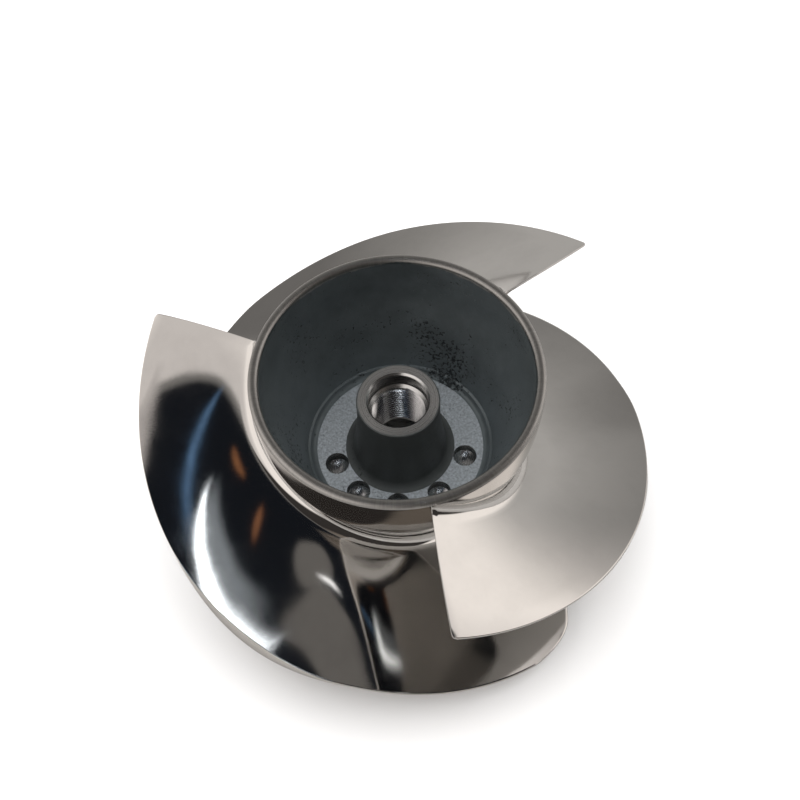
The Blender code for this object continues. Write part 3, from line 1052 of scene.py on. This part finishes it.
def card_group():
    """A soft-edged oval or rectangle overhead, on the plane of the direction's x/z and y/z."""
    entries = (
        ("Centre X", 0.0),
        ("Centre Y", 0.0),
        ("Half Width", 0.5),
        ("Half Height", 0.5),
        ("Turn", 0.0),
        ("Softness", 0.2),
        ("Sharpness", 2.0),
        ("Bend", 0.0),
    )
    tree, source = new_group("soft_card", entries, (("Mask", FLOAT),))
    parts = direction_parts(tree)
    up = maths(tree, "MAXIMUM", parts["Z"], 0.02)
    offsets = []
    for axis in ("X", "Y"):
        share = maths(tree, "DIVIDE", parts[axis], up)
        offsets.append(maths(tree, "SUBTRACT", share, source[f"Centre {axis}"]))
    inputs = {"Vector": joined(tree, *offsets), "Angle": source["Turn"]}
    spun = add_node(tree, "ShaderNodeVectorRotate", inputs, rotation_type="Z_AXIS", invert=True)
    local = parts_of(tree, spun.outputs["Vector"])
    bow = maths(tree, "MULTIPLY", maths(tree, "MULTIPLY", local["X"], local["X"]), source["Bend"])
    across = maths(tree, "SUBTRACT", local["Y"], bow)
    powers = []
    for value, half in ((local["X"], "Half Width"), (across, "Half Height")):
        size = maths(tree, "ABSOLUTE", maths(tree, "DIVIDE", value, source[half]))
        powers.append(maths(tree, "POWER", size, source["Sharpness"]))
    total = maths(tree, "ADD", *powers)
    low = maths(tree, "SUBTRACT", 1.0, source["Softness"])
    high = maths(tree, "ADD", 1.0, source["Softness"])
    mask = ramp(tree, total, low, high, 1.0, 0.0, "SMOOTHSTEP")
    above = maths(tree, "GREATER_THAN", parts["Z"], 0.05)
    return end_group(tree, {"Mask": maths(tree, "MULTIPLY", mask, above)})


CARDS = (
    # name, centre, half sizes, turn in degrees, softness, sharpness, colour
    ("grey_ceiling", (0.235, -0.166), (0.905, 0.548), 21.1, 0.04, 1.8, (0.24, 0.23, 0.22)),
    ("dark_ceiling", (0.235, -0.166), (0.859, 0.502), 21.1, 0.04, 1.8, (0.010, 0.012, 0.016)),
    ("side_board", (0.345, -0.050), (0.125, 0.120), 0.0, 0.10, 3.5, (0.175, 0.165, 0.155)),
    ("low_board", (0.49, -0.24), (0.11, 0.10), 20.0, 0.30, 2.5, (0.18, 0.17, 0.16)),
    ("small_lamp", (0.495, -0.125), (0.010, 0.060), -15.0, 0.9, 2.0, (2.2, 2.2, 2.2)),
    ("upper_board", (-0.48, -0.185), (0.15, 0.040), -12.0, 0.5, 2.0, (0.62, 0.58, 0.56)),
    ("brown_board", (1.0, -0.62), (0.42, 0.26), 25.0, 0.5, 2.5, (0.24, 0.205, 0.175)),
    ("blue_window", (-0.30, -0.40), (0.24, 0.015), 26.0, 0.95, 2.0, (0.16, 0.30, 0.52)),
    ("warm_board", (-0.08, -0.56), (0.09, 0.018), 8.0, 0.7, 2.0, (0.30, 0.13, 0.06)),
    ("warm_corner", (0.19, -0.42), (0.018, 0.07), 4.0, 0.7, 2.0, (0.30, 0.13, 0.065)),
    ("strip_glow", (0.045, -0.2850), (0.17, 0.040), 36.3, 0.9, 2.0, (0.30, 0.33, 0.36)),
    ("strip_light", (0.026, -0.2390), (0.185, 0.0115), 37.5, 0.8, 2.0, (7.0, 7.5, 8.0)),
)
STRIP_BEND = -0.95


# Heights of the direction between which a tone changes, and its lower and upper tone
PALE_TONES = (0.55, 0.75, (1.36, 1.28, 1.22), (0.87, 0.82, 0.79))
BEHIND_TONES = (0.18, 0.60, (0.575, 0.560, 0.540), (0.218, 0.210, 0.203))
FRONT_TONE = (0.050, 0.045, 0.042)
BACKDROP = (0.86, 0.86, 0.86)


def by_height(tree, height, low, high, low_tone, high_tone):
    """A tone that changes with the height of the direction."""
    return blend(tree, ramp(tree, height, low, high), opaque(low_tone), opaque(high_tone))


def add_surroundings():
    """A pale surround, grey behind the object and dark at the front, under a dark ceiling with lights."""
    world = bpy.data.worlds.new("studio_room")
    bpy.context.scene.world = world
    world.use_nodes = True
    tree = world.node_tree
    parts = direction_parts(tree)
    heading = vector_maths(tree, "NORMALIZE", "Vector", joined(tree, parts["X"], parts["Y"]))
    colour = by_height(tree, parts["Z"], *PALE_TONES)
    sides = (
        ((-0.139, 0.990, 0.0), 0.36, 0.73, by_height(tree, parts["Z"], *BEHIND_TONES)),
        ((0.550, -0.835, 0.0), 0.60, 0.72, opaque(FRONT_TONE)),
    )
    for direction, low, high, tone in sides:
        facing = vector_maths(tree, "DOT_PRODUCT", "Value", heading, direction)
        colour = blend(tree, ramp(tree, facing, low, high, kind="SMOOTHSTEP"), colour, tone)
    for name, centre, half, angle, softness, sharpness, tone in CARDS:
        inputs = {
            "Centre X": centre[0],
            "Centre Y": centre[1],
            "Half Width": half[0],
            "Half Height": half[1],
            "Turn": math.radians(angle),
            "Softness": softness,
            "Sharpness": sharpness,
            "Bend": STRIP_BEND if name.startswith("strip") else 0.0,
        }
        card = add_group(tree, "soft_card", card_group, inputs)
        card.name = name
        colour = blend(tree, card.outputs["Mask"], colour, opaque(tone))
    seen = add_node(tree, "ShaderNodeLightPath").outputs["Is Camera Ray"]
    feed(tree, blend(tree, seen, colour, opaque(BACKDROP)), tree.nodes["Background"].inputs["Color"])
    return world


def add_camera(settings, height):
    """A camera at the photograph's angle, aimed near the centre of the hub's mouth."""
    elevation = settings.elevation
    back = Vector((0.0, -math.cos(elevation), math.sin(elevation)))
    right = Vector((1.0, 0.0, 0.0))
    up = back.cross(right)
    aim = Vector((0.0, 0.0, height)) + right * settings.aim_right + up * settings.aim_up
    roll = Matrix.Rotation(settings.roll, 3, "Z")
    turned = Matrix((right, up, back)).transposed() @ roll
    data = bpy.data.cameras.new("camera")
    data.lens = settings.lens
    data.sensor_width = 36.0
    item = bpy.data.objects.new("camera", data)
    item.matrix_world = Matrix.Translation(aim + back * settings.distance) @ turned.to_4x4()
    bpy.context.scene.collection.objects.link(item)
    bpy.context.scene.camera = item
    return item


def add_floor(colour, shade_in_steel):
    """A pale floor, darker where the steel mirrors it: a painted shade that only the reflections see."""
    shape = bmesh.new()
    bmesh.ops.create_grid(shape, x_segments=1, y_segments=1, size=FLOOR_HALF)
    floor = add_piece("floor", shape)
    finish, tree, shader = new_material("pale_floor", 0.0)
    shader.inputs["Roughness"].default_value = 0.7
    # Painted shade: glossy rays see the floor darker than the camera does
    seen = add_node(tree, "ShaderNodeLightPath").outputs["Is Glossy Ray"]
    feed(tree, blend(tree, seen, opaque(colour), opaque(shade_in_steel)), shader.inputs["Base Color"])
    dress(floor, finish)
    return floor


class SCENE_OT_impeller_stage(bpy.types.Operator):
    """Sets up the floor, the soft lights and the camera"""

    bl_idname = "scene.impeller_stage"
    bl_label = "Stage"

    def execute(self, context):
        settings = context.scene.impeller_studio
        height = context.scene.impeller_hub.height
        add_floor(settings.floor, settings.shaded_floor_in_steel)
        add_surroundings()
        add_light("soft_overhead", settings.light)
        add_camera(settings, height)
        context.scene.view_settings.view_transform = "Standard"
        return {"FINISHED"}


class VIEW3D_PT_impeller(bpy.types.Panel):
    """Lists the impeller's operators"""

    bl_label = "Impeller"
    bl_idname = "VIEW3D_PT_impeller"
    bl_space_type = "VIEW_3D"
    bl_region_type = "UI"
    bl_category = "Impeller"

    def draw(self, context):
        for operator in OPERATORS:
            self.layout.operator(operator.bl_idname)


SETTINGS = (
    ("impeller_hub", HubSettings),
    ("impeller_blades", BladeSettings),
    ("impeller_finish", FinishSettings),
    ("impeller_studio", StudioSettings),
)
OPERATORS = (
    OBJECT_OT_impeller_hub,
    OBJECT_OT_impeller_thread,
    OBJECT_OT_impeller_blades,
    SCENE_OT_impeller_stage,
)


def register():
    for name, group in SETTINGS:
        bpy.utils.register_class(group)
        setattr(bpy.types.Scene, name, bpy.props.PointerProperty(type=group))
    for operator in OPERATORS:
        bpy.utils.register_class(operator)
    bpy.utils.register_class(VIEW3D_PT_impeller)


def unregister():
    bpy.utils.unregister_class(VIEW3D_PT_impeller)
    for operator in reversed(OPERATORS):
        bpy.utils.unregister_class(operator)
    for name, group in reversed(SETTINGS):
        delattr(bpy.types.Scene, name)
        bpy.utils.unregister_class(group)


def main():
    register()
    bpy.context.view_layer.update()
    bpy.ops.object.impeller_hub()
    bpy.ops.object.impeller_thread()
    bpy.ops.object.impeller_blades()
    bpy.ops.scene.impeller_stage()
    bpy.context.view_layer.update()


if __name__ == "__main__":
    main()
